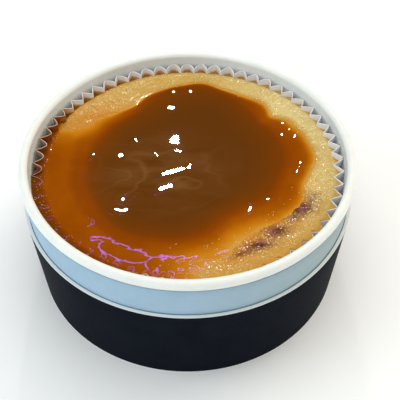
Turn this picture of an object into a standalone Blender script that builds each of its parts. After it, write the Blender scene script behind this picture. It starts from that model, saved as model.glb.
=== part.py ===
"""Single cheesecake with a caramel pool, baked in its pleated paper liner inside a paper tub.

The tub has a rolled rim, a white insulating outer wall and a black board sleeve round its
lower part. Sizes are in metres, +Z is up, and the origin is the centre of the foot.
"""
import math

import bmesh
import bpy
from mathutils import Vector, noise

# Tub: a straight tapered paper cup with an outward rolled rim and a shallow recessed bottom.
RIM_RADIUS = 0.0600
HEIGHT = 0.05325
ROLL_RADIUS = 0.00185
WALL_TAPER = 0.0536
TUB_WALL = 0.0008
FOOT_WIDTH = 0.0025
FOOT_RECESS = 0.0020
BOTTOM_THICKNESS = 0.0008

# Outer wall and sleeve: their radii are given at the height of the sleeve's top edge.
SLEEVE_TOP = 0.0364
SLEEVE_RADIUS = 0.0601
SLEEVE_BOARD = 0.0009
OUTER_WALL_RADIUS = 0.0587
OUTER_WALL_THICKNESS = 0.0019
OUTER_WALL_LIFT = 0.0006
TUB_RADIUS = 0.0565

# Liner: greaseproof paper folded into equal pleats.
PLEATS = 60
PLEAT_DEPTH = 0.0035
PLEAT_GAP = 0.00042
LINER_PAPER = 0.00042
LINER_TOP = 0.0491

# Food: a dished cake with a raised crust ring, and a caramel pool lying in the dish.
POOL_LEVEL = 0.0458
POOL_RADIUS = 0.0445
BASIN_DEPTH = 0.0042
SHORE_DEPTH = 0.0009
POOL_EDGE_DROP = 0.00015
POOL_WALL_GAP = 0.0008
CREST_RISE = 0.0011
EDGE_RISE = 0.0005
FULL_CRUST_WIDTH = 0.0040
CRUST_BUMP = 0.00025
BUMP_SIZE = 0.0045

# The pool's shore swells and dips: direction in degrees, spread in degrees, reach.
SHORE_SWELLS = (
    (85, 15, 0.0024),
    (15, 17, 0.0020),
    (39, 5, -0.0032),
    (127, 15, -0.0056),
    (306, 22, -0.0092),
    (346, 8, -0.0020),
)
# On one side the caramel runs out to the liner, between these directions in degrees.
SPILL_REACH = 0.0095
SPILL_START = (141, 158)
SPILL_END = (254, 276)

TOUCH_GAP = 0.0003

# Facets: steps round a turned piece, columns round a pleated one, and rings across the food.
TURNED_STEPS = 96
ROLL_STEPS = 10
ROLL_START_DEGREES = 165
ROLL_END_DEGREES = -112
COLUMNS = 2 * PLEATS
POOL_RINGS = (0.25, 0.5, 0.7, 0.86, 0.95, 1.0)
CRUST_RINGS = (0.15, 0.4, 0.7, 1.0)
CREST_START = 0.4
CREST_END = 0.5
SHARP_ON_PAPER = 35
SHARP_ON_PLEATS = 20
SHARP_ON_FOOD = 45


def plain_material(name, colour, roughness):
    """Plain principled surface in the piece's own colour."""
    material = bpy.data.materials.new(name)
    material.use_nodes = True
    shader = material.node_tree.nodes["Principled BSDF"]
    shader.inputs["Base Color"].default_value = (*colour, 1.0)
    shader.inputs["Roughness"].default_value = roughness
    shader.inputs["Metallic"].default_value = 0.0
    return material


def finish(name, bm, material, sharp_degrees):
    """Turn the finished shape into a scene object with outward faces and soft shading."""
    bmesh.ops.recalc_face_normals(bm, faces=bm.faces)
    mesh = bpy.data.meshes.new(name)
    bm.to_mesh(mesh)
    bm.free()
    mesh.materials.append(material)
    mesh.shade_smooth()
    mesh.set_sharp_from_angle(angle=math.radians(sharp_degrees))
    piece = bpy.data.objects.new(name, mesh)
    bpy.context.scene.collection.objects.link(piece)
    return piece


def tapered(level_radius, z):
    """Radius at height z of a wall that has level_radius at the sleeve's top edge."""
    return level_radius + WALL_TAPER * (z - SLEEVE_TOP)


def turned(name, profile, closed, material):
    """Spin a (radius, height) profile once round the vertical axis."""
    bm = bmesh.new()
    points = [bm.verts.new((radius, 0.0, z)) for radius, z in profile]
    pairs = list(zip(points, points[1:]))
    if closed:
        pairs.append((points[-1], points[0]))
    edges = [bm.edges.new(pair) for pair in pairs]
    bmesh.ops.spin(bm, geom=points + edges, cent=(0, 0, 0), axis=(0, 0, 1),
                   angle=math.tau, steps=TURNED_STEPS, use_merge=True)
    bmesh.ops.remove_doubles(bm, verts=bm.verts, dist=0.00001)
    return finish(name, bm, material, SHARP_ON_PAPER)


def build_tub():
    """Paper cup: floor, inner wall, rolled rim, outer face and the folded foot below the floor."""
    roll_centre = (RIM_RADIUS - ROLL_RADIUS, HEIGHT - ROLL_RADIUS)
    floor_top = FOOT_RECESS + BOTTOM_THICKNESS
    inner_top = tapered(TUB_RADIUS - TUB_WALL, roll_centre[1])
    foot_radius = tapered(TUB_RADIUS, 0.0)
    first, last = math.radians(ROLL_START_DEGREES), math.radians(ROLL_END_DEGREES)
    profile = [
        (0.0, floor_top),
        (tapered(TUB_RADIUS - TUB_WALL, floor_top), floor_top),
        (inner_top, roll_centre[1]),
    ]
    for step in range(ROLL_STEPS + 1):
        angle = first + (last - first) * step / ROLL_STEPS
        profile.append((roll_centre[0] + ROLL_RADIUS * math.cos(angle),
                        roll_centre[1] + ROLL_RADIUS * math.sin(angle)))
    roll_end_z = profile[-1][1]
    profile += [
        (tapered(TUB_RADIUS, roll_end_z), roll_end_z),
        (foot_radius, 0.0),
        (foot_radius - FOOT_WIDTH, 0.0),
        (foot_radius - FOOT_WIDTH, FOOT_RECESS),
        (0.0, FOOT_RECESS),
    ]
    return turned("tub", profile, False, plain_material("white_paper", (0.86, 0.85, 0.80), 0.45))


def wall_ring(name, radius, thickness, bottom, top, material):
    """Tapered paper ring between two heights, with radius on its outer face."""
    profile = [
        (tapered(radius, bottom), bottom),
        (tapered(radius, top), top),
        (tapered(radius - thickness, top), top),
        (tapered(radius - thickness, bottom), bottom),
    ]
    return turned(name, profile, True, material)


def build_outer_wall():
    """White insulating wall tucked under the rolled rim."""
    top = HEIGHT - 2.0 * ROLL_RADIUS - TOUCH_GAP
    return wall_ring("outer_wall", OUTER_WALL_RADIUS, OUTER_WALL_THICKNESS, OUTER_WALL_LIFT, top,
                     plain_material("white_outer_paper", (0.70, 0.76, 0.80), 0.55))


def build_sleeve():
    """Matte black board sleeve round the lower part, down to the table."""
    return wall_ring("sleeve", SLEEVE_RADIUS, SLEEVE_BOARD, 0.0, SLEEVE_TOP,
                     plain_material("black_board", (0.012, 0.014, 0.018), 0.6))


def pleated_radius(z, inset, column):
    """Radius at height z on a pleat's outer fold (even column) or inner fold (odd column)."""
    outer_fold = tapered(TUB_RADIUS - TUB_WALL, z) - inset
    return outer_fold if column % 2 == 0 else outer_fold - PLEAT_DEPTH


def column_angle(column):
    return math.tau * column / COLUMNS


def pleated_ring(bm, z, inset):
    """Closed ring of points that follows the pleats at height z."""
    ring = []
    for column in range(COLUMNS):
        radius = pleated_radius(z, inset, column)
        angle = column_angle(column)
        ring.append(bm.verts.new((radius * math.cos(angle), radius * math.sin(angle), z)))
    return ring


def bridge(bm, lower, upper):
    """Join two rings of equal count by triangles that all turn the same way."""
    for column in range(COLUMNS):
        after = (column + 1) % COLUMNS
        bm.faces.new((lower[column], lower[after], upper[after]))
        bm.faces.new((lower[column], upper[after], upper[column]))


def cap(bm, ring, z):
    """Close a ring by a fan round a centre point at height z."""
    centre = bm.verts.new((0.0, 0.0, z))
    for column in range(COLUMNS):
        bm.faces.new((ring[column], ring[(column + 1) % COLUMNS], centre))


def build_liner():
    """Pleated greaseproof cup, open at the top, standing a little above the cake."""
    outside = FOOT_RECESS + BOTTOM_THICKNESS + TOUCH_GAP
    inside = outside + LINER_PAPER
    bm = bmesh.new()
    outer_bottom = pleated_ring(bm, outside, PLEAT_GAP)
    outer_top = pleated_ring(bm, LINER_TOP, PLEAT_GAP)
    inner_top = pleated_ring(bm, LINER_TOP, PLEAT_GAP + LINER_PAPER)
    inner_bottom = pleated_ring(bm, inside, PLEAT_GAP + LINER_PAPER)
    cap(bm, outer_bottom, outside)
    bridge(bm, outer_bottom, outer_top)
    bridge(bm, outer_top, inner_top)
    bridge(bm, inner_top, inner_bottom)
    cap(bm, inner_bottom, inside)
    return finish("liner", bm, plain_material("greaseproof_paper", (0.72, 0.66, 0.58), 0.6),
                  SHARP_ON_PLEATS)


def smooth_step(start, end, value):
    """0 before start, 1 after end, with a soft rise between them."""
    t = min(max((value - start) / (end - start), 0.0), 1.0)
    return t * t * (3.0 - 2.0 * t)


def cake_edge_radius(column, z):
    """Radius where the cake meets the inner face of the liner."""
    return pleated_radius(z, PLEAT_GAP + LINER_PAPER + PLEAT_GAP, column)


def shore_radius(column):
    """Radius of the pool's outline, kept just inside the liner where the caramel spills out."""
    degrees = math.degrees(column_angle(column))
    radius = POOL_RADIUS
    for direction, spread, reach in SHORE_SWELLS:
        away = (degrees - direction + 180.0) % 360.0 - 180.0
        radius += reach * math.exp(-(away / spread) ** 2)
    radius += SPILL_REACH * (smooth_step(*SPILL_START, degrees) - smooth_step(*SPILL_END, degrees))
    return min(radius, cake_edge_radius(column, POOL_LEVEL) - POOL_WALL_GAP)


def basin_height(part_way):
    """Cake height under the pool: part_way is 0 at the centre and 1 at the shore."""
    return POOL_LEVEL - SHORE_DEPTH - (BASIN_DEPTH - SHORE_DEPTH) * (1.0 - part_way ** 2)


def crust_height(part_way, width, x, y):
    """Cake height on the crust: part_way is 0 at the shore and 1 at the liner."""
    climb = (CREST_RISE + SHORE_DEPTH) * smooth_step(0.0, CREST_START, part_way)
    fall = (CREST_RISE - EDGE_RISE) * smooth_step(CREST_END, 1.0, part_way)
    fullness = smooth_step(0.0, FULL_CRUST_WIDTH, width)
    rise = (climb - fall) * fullness - SHORE_DEPTH
    bump = noise.noise(Vector((x / BUMP_SIZE, y / BUMP_SIZE, 0.0)))
    return POOL_LEVEL + rise + CRUST_BUMP * bump * fullness


def pool_ring(bm, part_way, height):
    """Ring of points at one height, part way from the centre to the shore."""
    ring = []
    for column in range(COLUMNS):
        radius = part_way * shore_radius(column)
        angle = column_angle(column)
        ring.append(bm.verts.new((radius * math.cos(angle), radius * math.sin(angle), height)))
    return ring


def crust_ring(bm, part_way):
    """Ring of points on the crust, part way from the shore to the liner."""
    ring = []
    for column in range(COLUMNS):
        shore = shore_radius(column)
        width = cake_edge_radius(column, POOL_LEVEL) - shore
        radius = shore + part_way * width
        angle = column_angle(column)
        x, y = radius * math.cos(angle), radius * math.sin(angle)
        ring.append(bm.verts.new((x, y, crust_height(part_way, width, x, y))))
    return ring


def build_cheesecake():
    """Cake that fills the pleats, with a raised crust ring round a shallow dish."""
    bottom = FOOT_RECESS + BOTTOM_THICKNESS + TOUCH_GAP + LINER_PAPER + TOUCH_GAP
    bm = bmesh.new()
    rings = [pleated_ring(bm, bottom, 2.0 * PLEAT_GAP + LINER_PAPER)]
    rings += [crust_ring(bm, part_way) for part_way in reversed(CRUST_RINGS)]
    rings += [pool_ring(bm, part_way, basin_height(part_way)) for part_way in reversed(POOL_RINGS)]
    cap(bm, rings[0], bottom)
    for lower, upper in zip(rings, rings[1:]):
        bridge(bm, lower, upper)
    cap(bm, rings[-1], basin_height(0.0))
    return finish("cheesecake", bm, plain_material("baked_cheesecake", (0.60, 0.37, 0.13), 0.5),
                  SHARP_ON_FOOD)


def build_caramel():
    """Pool of caramel sauce whose underside follows the dish."""
    bm = bmesh.new()
    under = [pool_ring(bm, part_way, basin_height(part_way) + TOUCH_GAP) for part_way in POOL_RINGS]
    surface = [pool_ring(bm, part_way, POOL_LEVEL) for part_way in reversed(POOL_RINGS[:-1])]
    shore = pool_ring(bm, 1.0, POOL_LEVEL - POOL_EDGE_DROP)
    rings = under + [shore] + surface
    cap(bm, rings[0], basin_height(0.0) + TOUCH_GAP)
    for lower, upper in zip(rings, rings[1:]):
        bridge(bm, lower, upper)
    cap(bm, rings[-1], POOL_LEVEL)
    return finish("caramel", bm, plain_material("caramel_sauce", (0.17, 0.045, 0.006), 0.08),
                  SHARP_ON_FOOD)


for old in list(bpy.data.objects):
    bpy.data.objects.remove(old, do_unlink=True)

build_tub()
build_outer_wall()
build_sleeve()
build_liner()
build_cheesecake()
build_caramel()
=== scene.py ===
import math

import bmesh
import bpy
import numpy as np
from mathutils import Euler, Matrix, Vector, noise


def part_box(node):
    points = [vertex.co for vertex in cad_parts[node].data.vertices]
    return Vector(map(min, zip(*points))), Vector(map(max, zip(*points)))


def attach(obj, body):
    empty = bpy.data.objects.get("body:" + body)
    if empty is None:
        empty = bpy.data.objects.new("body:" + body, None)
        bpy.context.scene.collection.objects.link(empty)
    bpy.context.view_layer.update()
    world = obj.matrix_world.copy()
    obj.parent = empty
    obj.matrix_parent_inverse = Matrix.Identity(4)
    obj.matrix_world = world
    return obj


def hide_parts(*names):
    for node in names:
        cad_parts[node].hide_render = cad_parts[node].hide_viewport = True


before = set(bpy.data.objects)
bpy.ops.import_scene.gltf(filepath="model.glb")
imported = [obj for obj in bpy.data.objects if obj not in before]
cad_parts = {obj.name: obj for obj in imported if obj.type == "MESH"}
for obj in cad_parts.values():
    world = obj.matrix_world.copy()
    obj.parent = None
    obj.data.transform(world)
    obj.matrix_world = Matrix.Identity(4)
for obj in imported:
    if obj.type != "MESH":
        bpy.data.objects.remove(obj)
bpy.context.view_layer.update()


# ------------------------------------------------------------
# Tub: a cup of white coated paper, its floor crimped in below, its rim curled outwards on a
# mandrel. The side seam is lapped and glued, so the curl steps where the paper lies double.

MM = 0.001
rim_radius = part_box("tub")[1][0]
tub_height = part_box("tub")[1][2]
sleeve_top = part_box("sleeve")[1][2]
RIM_OVERHANG = 3.5 * MM
tub_radius = rim_radius - RIM_OVERHANG
WALL_TAPER = 0.0536
ROLL_RADIUS = 1.85 * MM
TUB_WALL = 0.8 * MM
FOOT_WIDTH = 2.5 * MM
FOOT_RECESS = 2.0 * MM
FOOT_CORNER = 0.2 * MM
FLOOR_RING = 30.0 * MM
floor_top = FOOT_RECESS + TUB_WALL

ROUND_COLUMNS = 360
WALL_STEPS = 10
ROLL_STEPS = 30
ROLL_START, ROLL_END = 165, -112

SEAM_DIRECTION = 65
SEAM_STEP = 0.28 * MM
SEAM_WIDTH = 9.0
SEAM_EASING = 30.0
# Small dents in the curl: direction and spread in degrees, depth.
DENTS = ((88, 1.0, 0.10 * MM), (293, 1.2, 0.10 * MM), (203, 2.0, 0.06 * MM), (20, 3.0, 0.08 * MM))
WANDER = 0.10 * MM
# Points of one mesh that lie closer than this are one point.
WELD = 0.002 * MM


def tapered(level_radius, z):
    """Radius at height z of a wall that has level_radius at the sleeve's top edge."""
    return level_radius + WALL_TAPER * (z - sleeve_top)


def smooth_step(start, end, value):
    """0 before start, 1 after end, with a soft rise between them."""
    t = np.clip((value - start) / (end - start), 0.0, 1.0)
    return t * t * (3.0 - 2.0 * t)


def degrees_from(angle, direction):
    """Signed angle in degrees from a direction, between -180 and 180."""
    return (np.degrees(angle) - direction + 180.0) % 360.0 - 180.0


def hump(angle, direction, spread):
    """Soft bump of height 1 round one direction."""
    return np.exp(-(degrees_from(angle, direction) / spread) ** 2)


def even_angles(columns):
    """One row of angles, evenly spaced round the circle."""
    return np.arange(columns)[None, :] * math.tau / columns


def ring_mesh(name, radius, angle, z, closed=False):
    """Skin over rows of round rings. A closed one also joins its last row to its first."""
    radius, angle, z = np.broadcast_arrays(radius, angle, z)
    points = np.stack([radius * np.cos(angle), radius * np.sin(angle), z], axis=-1)
    index = np.arange(radius.size).reshape(radius.shape)
    lower = index if closed else index[:-1]
    upper = np.roll(index, -1, axis=0) if closed else index[1:]
    quads = np.stack([lower, np.roll(lower, -1, axis=1), np.roll(upper, -1, axis=1), upper], axis=-1)
    mesh = bpy.data.meshes.new(name)
    mesh.from_pydata(points.reshape(-1, 3).tolist(), [], quads.reshape(-1, 4).tolist())
    bm = bmesh.new()
    bm.from_mesh(mesh)
    bmesh.ops.remove_doubles(bm, verts=bm.verts, dist=WELD)
    bmesh.ops.recalc_face_normals(bm, faces=bm.faces)
    bm.to_mesh(mesh)
    bm.free()
    mesh.shade_smooth()
    return mesh


def place(mesh, *materials):
    """Put a finished mesh into the scene at the origin."""
    piece = bpy.data.objects.new(mesh.name, mesh)
    bpy.context.scene.collection.objects.link(piece)
    for material in materials:
        mesh.materials.append(material)
    return piece


def surface(name, base_colour, **settings):
    """New material; settings are the principled shader's sockets, with _ for each space."""
    material = bpy.data.materials.new(name)
    material.use_nodes = True
    shader = material.node_tree.nodes["Principled BSDF"]
    shader.inputs["Base Color"].default_value = (*base_colour, 1.0)
    for socket, value in settings.items():
        shader.inputs[socket.replace("_", " ")].default_value = value
    return material, material.node_tree, shader


def node(tree, kind, links=None, **settings):
    """Add a node; links gives its inputs, by name or number, a socket or a plain value."""
    made = tree.nodes.new(kind)
    for setting, value in settings.items():
        setattr(made, setting, value)
    for socket, value in (links or {}).items():
        if isinstance(value, bpy.types.NodeSocket):
            tree.links.new(value, made.inputs[socket])
        else:
            made.inputs[socket].default_value = value
    return made


def calc(tree, operation, *values):
    """Arithmetic on sockets or numbers; from the third on, each is worked into the result."""
    result = node(tree, "ShaderNodeMath", dict(enumerate(values[:2])), operation=operation).outputs[0]
    for value in values[2:]:
        result = calc(tree, operation, result, value)
    return result


def times(tree, *values):
    return calc(tree, "MULTIPLY", *values)


def plus(tree, *values):
    return calc(tree, "ADD", *values)


def minus(tree, *values):
    return calc(tree, "SUBTRACT", *values)


def own_place(tree):
    """Each point's place in its piece."""
    return node(tree, "ShaderNodeTexCoord").outputs["Object"]


def split(tree, vector):
    """The three parts of a vector socket."""
    return node(tree, "ShaderNodeSeparateXYZ", {0: vector}).outputs


def noise_texture(tree, vector, size, detail, roughness):
    """Noise from 0 to 1 whose features are about one size across."""
    return node(tree, "ShaderNodeTexNoise", {
        "Vector": vector, "Scale": 1.0 / size, "Detail": detail, "Roughness": roughness}).outputs["Fac"]


def grain(tree, size, detail=3.0, roughness=0.55, stretch=(1, 1, 1)):
    """Noise in the piece's own place, squeezed along each axis by stretch."""
    mapped = node(tree, "ShaderNodeMapping", {"Vector": own_place(tree), "Scale": stretch})
    return noise_texture(tree, mapped.outputs["Vector"], size, detail, roughness)


def remap(tree, value, low, high, to_low=0.0, to_high=1.0):
    """Linear change of range, held at its ends."""
    return node(tree, "ShaderNodeMapRange", {
        "Value": value, "From Min": low, "From Max": high, "To Min": to_low, "To Max": to_high,
    }).outputs["Result"]


def colour_ramp(tree, value, *stops):
    """Colour from (place, colour) stops."""
    ramp = node(tree, "ShaderNodeValToRGB", {"Fac": value})
    elements = ramp.color_ramp.elements
    while len(elements) < len(stops):
        elements.new(0.5)
    for element, (position, colour) in zip(elements, stops):
        element.position = position
        element.color = (*colour, 1.0)
    return ramp.outputs["Color"]


def mixed(tree, share, first, second):
    """Colour between two, each a socket or a colour; share is a socket."""
    ends = [(*colour, 1.0) if isinstance(colour, tuple) else colour for colour in (first, second)]
    links = {"Factor": share, 6: ends[0], 7: ends[1]}
    return node(tree, "ShaderNodeMix", links, data_type="RGBA").outputs[2]


def relief(tree, shader, *layers):
    """Stack bump layers, each a (height socket, depth in metres) pair, on the shader."""
    normal = None
    for height, depth in layers:
        links = {"Strength": 1.0, "Distance": depth, "Height": height}
        if normal is not None:
            links["Normal"] = normal
        normal = node(tree, "ShaderNodeBump", links).outputs["Normal"]
    tree.links.new(normal, shader.inputs["Normal"])


def cup_paper(name, light, shade, roughness, painted_warm_light=None):
    """Pulp paper: faintly cloudy, fine fibred and softly shiny, with painted dimmer, warmer light towards +X
    where a colour for it is given."""
    material, tree, shader = surface(name, light)
    clouds = remap(tree, grain(tree, 6.0 * MM), 0.35, 0.65)
    colour = mixed(tree, clouds, light, shade)
    # Painted light: towards +X the colour turns to the given one, for dimmer, warmer light on that side.
    if painted_warm_light:
        towards_x = remap(tree, split(tree, own_place(tree))[0], 0.0, 50.0 * MM)
        colour = mixed(tree, towards_x, colour, painted_warm_light)
    tree.links.new(colour, shader.inputs["Base Color"])
    fibre = grain(tree, 0.35 * MM, detail=2.0)
    sheen = remap(tree, fibre, 0.3, 0.7, roughness - 0.06, roughness + 0.08)
    tree.links.new(sheen, shader.inputs["Roughness"])
    relief(tree, shader, (fibre, 0.012 * MM), (grain(tree, 3.0 * MM), 0.03 * MM))
    return material


def build_tub():
    """The cup in one skin: over its floor, up its inside, round the curl, down its outside and
    under its foot. The seam, the dents and a slight wander press the curl in."""
    roll_centre = (rim_radius - ROLL_RADIUS, tub_height - ROLL_RADIUS)
    inner_level = tub_radius - TUB_WALL
    inner_foot = tapered(inner_level, floor_top)
    heights = np.linspace(floor_top + 1.5 * MM, roll_centre[1] - 0.3 * MM, WALL_STEPS)
    profile = [(0.0, floor_top), (FLOOR_RING, floor_top)]
    profile += [(inner_foot - 1.0 * MM, floor_top), (inner_foot - 0.2 * MM, floor_top + 0.3 * MM)]
    profile += [(tapered(inner_level, z), z) for z in heights]
    for turn in np.radians(np.linspace(ROLL_START, ROLL_END, ROLL_STEPS)):
        profile.append((roll_centre[0] + ROLL_RADIUS * math.cos(turn),
                        roll_centre[1] + ROLL_RADIUS * math.sin(turn)))
    under_roll = profile[-1][1]
    foot = tapered(tub_radius, 0.0)
    heights = np.linspace(under_roll - 0.2 * MM, 0.25 * MM, WALL_STEPS)
    profile += [(tapered(tub_radius, z), z) for z in heights]
    profile += [(foot - FOOT_CORNER, 0.0), (foot - FOOT_WIDTH + FOOT_CORNER, 0.0)]
    profile += [(foot - FOOT_WIDTH, FOOT_CORNER), (foot - FOOT_WIDTH, FOOT_RECESS)]
    profile += [(FLOOR_RING, FOOT_RECESS), (0.0, FOOT_RECESS)]
    profile = np.array(profile)

    angle = even_angles(ROUND_COLUMNS)
    radius = profile[:, :1] + 0.0 * angle
    z = profile[:, 1:] + 0.0 * angle
    on_roll = smooth_step(tub_height - 2.6 * ROLL_RADIUS, tub_height - 1.6 * ROLL_RADIUS, z)
    outwards = (radius - roll_centre[0]) / ROLL_RADIUS
    upwards = (z - roll_centre[1]) / ROLL_RADIUS
    away = degrees_from(angle, SEAM_DIRECTION)
    doubled = smooth_step(-SEAM_WIDTH, -0.3, away) * (1.0 - smooth_step(0.0, 0.6, away))
    press = -SEAM_STEP * (1.0 - doubled) * (1.0 - smooth_step(0.0, SEAM_EASING, np.abs(away)))
    for direction, spread, depth in DENTS:
        press = press - depth * hump(angle, direction, spread)
    press = press + WANDER * 0.5 * (np.sin(3 * angle + 0.6) + np.sin(5 * angle + 2.0) - 2.0)
    radius = radius + on_roll * press * outwards
    z = z + on_roll * press * upwards
    return ring_mesh("tub_cup", radius, angle, z)


coated_paper = cup_paper("coated_white_paper", (0.91, 0.92, 0.87), (0.87, 0.88, 0.84), 0.36)
tub = place(build_tub(), coated_paper)
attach(tub, "root")
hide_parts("tub")


# ------------------------------------------------------------
# Outer wall: an insulating ring of matte white paper, glued round the cup under its curl, its colour
# painted dim and bluish as cool shade, and greyer and warmer on its +X side as painted warm light. It
# shows as the band above the sleeve, and its glue lap is at the back.

OUTER_WALL_RADIUS = 58.7 * MM
OUTER_WALL_THICKNESS = 1.9 * MM
OUTER_WALL_EDGE = 0.15 * MM
outer_wall_low, outer_wall_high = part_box("outer_wall")
LAP_DIRECTION = 92
LAP_STEP = 0.18 * MM
LAP_WIDTH = 9.0
OUT_OF_ROUND = 0.05 * MM
RINGS_UP = 12


def board_ring(name, level_radius, thickness, low, high, edge):
    """Tapered ring of board with slightly rounded edges, and a lap that stands out by LAP_STEP."""
    outer = [(0.0, z) for z in np.linspace(low + edge, high - edge, RINGS_UP)]
    inner = [(-thickness, z) for z in np.linspace(high - edge, low + edge, RINGS_UP)]
    top = [(-edge, high), (-thickness + edge, high)]
    bottom = [(-thickness + edge, low), (-edge, low)]
    profile = np.array(outer + top + inner + bottom)
    angle = even_angles(ROUND_COLUMNS)
    z = profile[:, 1:] + 0.0 * angle
    away = degrees_from(angle, LAP_DIRECTION)
    lap = smooth_step(-LAP_WIDTH, -LAP_WIDTH + 3.0, away) * (1.0 - smooth_step(0.0, 0.5, away))
    on_outside = profile[:, :1] > -1.5 * edge
    wander = OUT_OF_ROUND * (np.sin(2 * angle + 0.9) - 1.0)
    radius = tapered(level_radius, z) + profile[:, :1] + np.where(on_outside, LAP_STEP * lap, 0.0)
    return ring_mesh(name, radius + wander, angle, z, closed=True)


# Painted light: the band's dim bluish colour is painted cool shade, its +X colour painted warm light.
band_paper_painted_shade = cup_paper("band_paper_painted_cool_shade", (0.375, 0.54, 0.68), (0.345, 0.51, 0.65), 0.6,
                       painted_warm_light=(0.365, 0.46, 0.47))
outer_wall = place(board_ring("outer_wall_band", OUTER_WALL_RADIUS, OUTER_WALL_THICKNESS,
                              outer_wall_low[2], outer_wall_high[2], OUTER_WALL_EDGE), band_paper_painted_shade)
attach(outer_wall, "root")
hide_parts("outer_wall")


# ------------------------------------------------------------
# Sleeve: white board printed plain matte black, die cut and glued into a ring that slides up the
# cup. Its cut edges show the white core of the board.

sleeve_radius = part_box("sleeve")[1][0]
SLEEVE_BOARD = 1.2 * MM
SLEEVE_EDGE = 0.1 * MM


def black_board():
    """Matte black ink on board: fine fibre and a slightly cloudy black."""
    material, tree, shader = surface("matte_black_board", (0.006, 0.009, 0.014), Specular_IOR_Level=0.02)
    clouds = remap(tree, grain(tree, 9.0 * MM, detail=5.0), 0.35, 0.7)
    ink = mixed(tree, clouds, (0.0030, 0.0052, 0.0110), (0.0055, 0.0080, 0.0140))
    tree.links.new(ink, shader.inputs["Base Color"])
    fibre = grain(tree, 0.5 * MM, detail=3.0, stretch=(1, 1, 2.5))
    tree.links.new(remap(tree, fibre, 0.3, 0.7, 0.48, 0.66), shader.inputs["Roughness"])
    relief(tree, shader, (fibre, 0.02 * MM), (grain(tree, 5.0 * MM), 0.05 * MM))
    return material


def board_core():
    """Uncoated white pulp at a cut edge."""
    material, tree, shader = surface("white_board_core", (0.86, 0.88, 0.86), Roughness=0.8)
    fibre = grain(tree, 0.25 * MM)
    pulp = mixed(tree, remap(tree, fibre, 0.3, 0.7), (0.90, 0.92, 0.90), (0.78, 0.80, 0.78))
    tree.links.new(pulp, shader.inputs["Base Color"])
    relief(tree, shader, (fibre, 0.03 * MM))
    return material


sleeve = place(
    board_ring("sleeve_ring", sleeve_radius, SLEEVE_BOARD, 0.0, sleeve_top, SLEEVE_EDGE),
    black_board(), board_core())
for face in sleeve.data.polygons:
    on_cut_edge = abs(face.normal.z) > 0.6
    face.material_index = int(on_cut_edge)
sleeve.data.set_sharp_from_angle(angle=math.radians(40))
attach(sleeve, "root")
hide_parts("sleeve")


# ------------------------------------------------------------
# Liner: a disc of white greaseproof paper pressed into a cup, its wall gathered into equal pleats.
# It is crisp where it stayed dry, and soft, wavy and brown where the caramel soaks it.

PLEATS = 60
PLEAT_STEPS = 12
PLEAT_DEPTH = 3.6 * MM
LINER_INSET = 0.30 * MM
LINER_PAPER = 0.26 * MM
LINER_ROWS = 22
FREE_PAPER = 5.0 * MM
liner_low, liner_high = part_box("liner")
FOOD_COLUMNS = PLEATS * PLEAT_STEPS


def fold_at(angle):
    """0 on an outer fold and 1 on an inner one. All folds are crisp on the +X side, the outer
    ones are rounded at the back and the inner ones on the -X side."""
    phase = angle / math.tau * PLEATS
    crisp = 2.0 * np.abs(phase - np.round(phase))
    back = np.maximum(np.sin(angle), 0.0) ** 2
    left = (0.5 - 0.5 * np.cos(angle)) * (1.0 - back)
    return crisp + (crisp - crisp ** 2) * (left - back)


def liner_radius(angle, z):
    """Middle of the liner's paper at height z."""
    return tapered(tub_radius - TUB_WALL, z) - LINER_INSET - PLEAT_DEPTH * fold_at(angle)


def new_geometry_tree(name, sizes):
    """Tree with a mesh in, one number input for each size, a material input, and a mesh out."""
    tree = bpy.data.node_groups.new(name, "GeometryNodeTree")
    tree.interface.new_socket("Base", in_out="INPUT", socket_type="NodeSocketGeometry")
    for size in sizes:
        tree.interface.new_socket(size, in_out="INPUT", socket_type="NodeSocketFloat")
    tree.interface.new_socket("Surface", in_out="INPUT", socket_type="NodeSocketMaterial")
    tree.interface.new_socket("Result", in_out="OUTPUT", socket_type="NodeSocketGeometry")
    return tree, tree.nodes.new("NodeGroupInput").outputs


def end_geometry_tree(tree, inputs, geometry):
    """Realize the instances, give the material and connect the result."""
    real = node(tree, "GeometryNodeRealizeInstances", {"Geometry": geometry}).outputs[0]
    done = node(tree, "GeometryNodeSetMaterial", {"Geometry": real, "Material": inputs["Surface"]})
    node(tree, "NodeGroupOutput", {0: done.outputs[0]})


def grown(name, tree, sizes, base, material):
    """Run a tree on a base mesh with these sizes and give back a plain mesh."""
    carrier = bpy.data.objects.new(name + "_carrier", base)
    bpy.context.scene.collection.objects.link(carrier)
    modifier = carrier.modifiers.new("tree", "NODES")
    modifier.node_group = tree
    for item in tree.interface.items_tree:
        if item.in_out == "INPUT" and item.name in sizes:
            modifier[item.identifier] = sizes[item.name]
        if item.in_out == "INPUT" and item.name == "Surface":
            modifier[item.identifier] = material
    carrier.update_tag()
    evaluated = carrier.evaluated_get(bpy.context.evaluated_depsgraph_get())
    mesh = bpy.data.meshes.new_from_object(evaluated)
    mesh.name = name
    bpy.data.objects.remove(carrier, do_unlink=True)
    return mesh


PLEATED_CUP_SIZES = {
    "Pleats": float(PLEATS),
    "Fold Depth": PLEAT_DEPTH,
    "Foot Radius": float(tapered(tub_radius - TUB_WALL, liner_low[2])) - LINER_INSET,
    "Flare": WALL_TAPER,
    "Floor": float(liner_low[2]),
    "Wall Height": float(liner_high[2] - liner_low[2]),
    "Free Paper": FREE_PAPER,
    "Pull In": 0.25 * MM,
    "Uneven Top": 0.30 * MM,
    "Lean": 0.006,
    "Front Dip": 2.8 * MM,
    "Front Direction": math.radians(300),
    "Front Spread": math.radians(57),
    "Drowned Dip": 3.9 * MM,
    "Drowned Direction": math.radians(217),
    "Drowned Spread": math.radians(40),
    "Seed": 4.0,
}


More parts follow.
